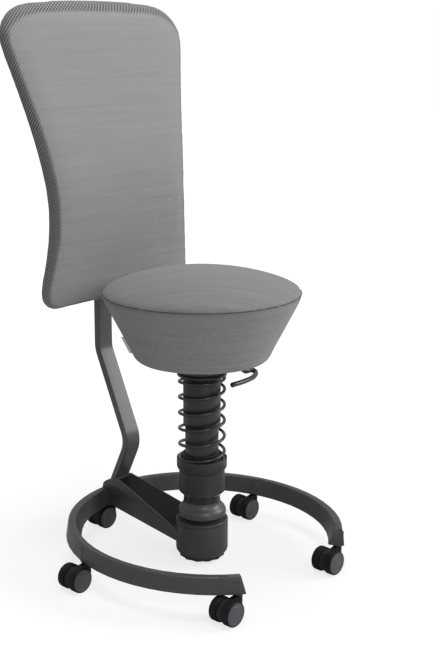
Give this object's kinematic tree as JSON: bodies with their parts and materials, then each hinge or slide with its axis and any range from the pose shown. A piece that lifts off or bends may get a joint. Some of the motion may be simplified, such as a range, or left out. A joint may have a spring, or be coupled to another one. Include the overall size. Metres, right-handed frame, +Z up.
{
  "type": "spring balance stool",
  "caption": "Round padded seat on a sprung column that swings in a ball joint, on an open castor ring, with a waisted backrest on a bent mast.",
  "frame": {"origin": "middle of the footprint, on the floor", "axes": "+Z up; the stool faces -Y; +X is to the sitter's left"},
  "size_m": [0.5894, 0.606, 1.1408],
  "materials": {
    "seat_fabric": "grey knitted cover",
    "back_fabric": "grey mesh cover",
    "tag_fabric": "bare white cloth",
    "ring_paint": "satin anthracite",
    "mast_paint": "satin anthracite",
    "black_plastic": "black",
    "column_black": "black",
    "spring_black": "black",
    "castor_plastic": "dark grey",
    "rubber": "black",
    "steel": "bright",
    "plywood": "plain"
  },
  "bodies": {
    "base": {"base_ring": "ring_paint", "rear_beam": "ring_paint", "beam_cover": "black_plastic", "mast": "mast_paint", "joint_barrel": "ring_paint", "rubber_gaiter": "rubber"},
    "swing_knob": {"swing_knob": "black_plastic"},
    "swing": {"swing_bush": "rubber"},
    "strut": {"ball_stem": "steel", "joint_dome": "column_black", "neck_tube": "column_black", "column_sleeve": "column_black", "spring_cup": "column_black", "lower_tube": "column_black", "bump_stop": "rubber", "main_spring": "spring_black"},
    "carriage": {"upper_tube": "column_black", "spring_plate": "column_black", "stand_tube": "steel", "guide_bush": "black_plastic", "thrust_bearing": "steel"},
    "spindle": {"piston_rod": "steel"},
    "seat": {"gas_cylinder": "steel", "seat_pan": "column_black", "seat_board": "plywood", "seat_screw_1": "steel", "seat_screw_2": "steel", "seat_screw_3": "steel", "seat_screw_4": "steel", "seat_cushion": "seat_fabric", "seat_tag": "tag_fabric", "lever_bracket": "black_plastic", "lever_pin": "steel"},
    "lever": {"release_lever": "spring_black"},
    "valve": {"valve_button": "steel"},
    "backrest": {"backrest_pad": "back_fabric", "backrest_shell": "black_plastic", "back_carrier": "black_plastic"},
    "back_knob": {"back_knob": "black_plastic"},
    "castor_front_right": {"castor_front_right_fork": "castor_plastic", "castor_front_right_axle": "steel"},
    "castor_front_right_front_wheel": {"castor_front_right_front_wheel": "castor_plastic"},
    "castor_front_right_rear_wheel": {"castor_front_right_rear_wheel": "castor_plastic"},
    "castor_front_left": {"castor_front_left_fork": "castor_plastic", "castor_front_left_axle": "steel"},
    "castor_front_left_front_wheel": {"castor_front_left_front_wheel": "castor_plastic"},
    "castor_front_left_rear_wheel": {"castor_front_left_rear_wheel": "castor_plastic"},
    "castor_side_left": {"castor_side_left_fork": "castor_plastic", "castor_side_left_axle": "steel"},
    "castor_side_left_front_wheel": {"castor_side_left_front_wheel": "castor_plastic"},
    "castor_side_left_rear_wheel": {"castor_side_left_rear_wheel": "castor_plastic"},
    "castor_rear": {"castor_rear_fork": "castor_plastic", "castor_rear_axle": "steel"},
    "castor_rear_front_wheel": {"castor_rear_front_wheel": "castor_plastic"},
    "castor_rear_rear_wheel": {"castor_rear_rear_wheel": "castor_plastic"},
    "castor_side_right": {"castor_side_right_fork": "castor_plastic", "castor_side_right_axle": "steel"},
    "castor_side_right_front_wheel": {"castor_side_right_front_wheel": "castor_plastic"},
    "castor_side_right_rear_wheel": {"castor_side_right_rear_wheel": "castor_plastic"}
  },
  "joints": [
    {"name": "swing_knob_turn", "type": "hinge", "parent": "base", "child": "swing_knob", "pos_m": [0.016, -0.04065, 0.01629], "axis": [0, 0, 1], "range_deg": [-90, 90]},
    {"name": "swing_fore_aft", "type": "hinge", "parent": "base", "child": "swing", "pos_m": [0.016, -0.04065, 0.06079], "axis": [1, 0, 0], "range_deg": [-2.5, 8], "stiffness_Nm_per_rad": 300, "deforming": ["rubber_gaiter"]},
    {"name": "swing_side", "type": "hinge", "parent": "swing", "child": "strut", "pos_m": [0.016, -0.04065, 0.06079], "axis": [0, 1, 0], "range_deg": [-7, 7], "stiffness_Nm_per_rad": 300},
    {"name": "bounce", "type": "slide", "parent": "strut", "child": "carriage", "axis": [0, 0, 1], "range_m": [-0.045, 0], "stiffness_N_per_m": 8000, "springref_m": 0.03, "deforming": ["main_spring"]},
    {"name": "swivel", "type": "hinge", "parent": "carriage", "child": "spindle", "pos_m": [0.016, -0.04065, 0.19479], "axis": [0, 0, 1], "continuous": true},
    {"name": "lift", "type": "slide", "parent": "spindle", "child": "seat", "axis": [0, 0, 1], "range_m": [0, 0.12]},
    {"name": "lever_pull", "type": "hinge", "parent": "seat", "child": "lever", "pos_m": [0.0518, -0.06792, 0.45859], "axis": [0.606, 0.7955, 0], "range_deg": [-5, 0], "stiffness_Nm_per_rad": 1, "springref_deg": 8.59},
    {"name": "valve_press", "type": "slide", "parent": "seat", "child": "valve", "axis": [0, 0, 1], "range_m": [-0.005, 0]},
    {"name": "back_height", "type": "slide", "parent": "base", "child": "backrest", "axis": [0, 0, 1], "range_m": [-0.03, 0.05]},
    {"name": "back_knob_turn", "type": "hinge", "parent": "backrest", "child": "back_knob", "pos_m": [0.016, 0.26435, 0.65179], "axis": [0, 1, 0], "range_deg": [0, 180]},
    {"name": "castor_front_right_swivel", "type": "hinge", "parent": "base", "child": "castor_front_right", "pos_m": [-0.13818, -0.27865, -0.00521], "axis": [0, 0, 1], "continuous": true},
    {"name": "castor_front_right_front_spin", "type": "hinge", "parent": "castor_front_right", "child": "castor_front_right_front_wheel", "pos_m": [-0.17018, -0.27865, 0.02479], "axis": [0, 1, 0], "continuous": true},
    {"name": "castor_front_right_rear_spin", "type": "hinge", "parent": "castor_front_right", "child": "castor_front_right_rear_wheel", "pos_m": [-0.17018, -0.27865, 0.02479], "axis": [0, 1, 0], "continuous": true},
    {"name": "castor_front_left_swivel", "type": "hinge", "parent": "base", "child": "castor_front_left", "pos_m": [0.17018, -0.27865, -0.00521], "axis": [0, 0, 1], "continuous": true},
    {"name": "castor_front_left_front_spin", "type": "hinge", "parent": "castor_front_left", "child": "castor_front_left_front_wheel", "pos_m": [0.13818, -0.27865, 0.02479], "axis": [0, 1, 0], "continuous": true},
    {"name": "castor_front_left_rear_spin", "type": "hinge", "parent": "castor_front_left", "child": "castor_front_left_rear_wheel", "pos_m": [0.13818, -0.27865, 0.02479], "axis": [0, 1, 0], "continuous": true},
    {"name": "castor_side_left_swivel", "type": "hinge", "parent": "base", "child": "castor_side_left", "pos_m": [0.2699, 0.03612, -0.00521], "axis": [0, 0, 1], "continuous": true},
    {"name": "castor_side_left_front_spin", "type": "hinge", "parent": "castor_side_left", "child": "castor_side_left_front_wheel", "pos_m": [0.2379, 0.03612, 0.02479], "axis": [0, 1, 0], "continuous": true},
    {"name": "castor_side_left_rear_spin", "type": "hinge", "parent": "castor_side_left", "child": "castor_side_left_rear_wheel", "pos_m": [0.2379, 0.03612, 0.02479], "axis": [0, 1, 0], "continuous": true},
    {"name": "castor_rear_swivel", "type": "hinge", "parent": "base", "child": "castor_rear", "pos_m": [0.016, 0.23743, -0.00521], "axis": [0, 0, 1], "continuous": true},
    {"name": "castor_rear_front_spin", "type": "hinge", "parent": "castor_rear", "child": "castor_rear_front_wheel", "pos_m": [-0.016, 0.23743, 0.02479], "axis": [0, 1, 0], "continuous": true},
    {"name": "castor_rear_rear_spin", "type": "hinge", "parent": "castor_rear", "child": "castor_rear_rear_wheel", "pos_m": [-0.016, 0.23743, 0.02479], "axis": [0, 1, 0], "continuous": true},
    {"name": "castor_side_right_swivel", "type": "hinge", "parent": "base", "child": "castor_side_right", "pos_m": [-0.2379, 0.03612, -0.00521], "axis": [0, 0, 1], "continuous": true},
    {"name": "castor_side_right_front_spin", "type": "hinge", "parent": "castor_side_right", "child": "castor_side_right_front_wheel", "pos_m": [-0.2699, 0.03612, 0.02479], "axis": [0, 1, 0], "continuous": true},
    {"name": "castor_side_right_rear_spin", "type": "hinge", "parent": "castor_side_right", "child": "castor_side_right_rear_wheel", "pos_m": [-0.2699, 0.03612, 0.02479], "axis": [0, 1, 0], "continuous": true}
  ],
  "couplings": [
    {"joint": "valve_press", "follows": "lever_pull", "m_per_rad": 0.045}
  ]
}
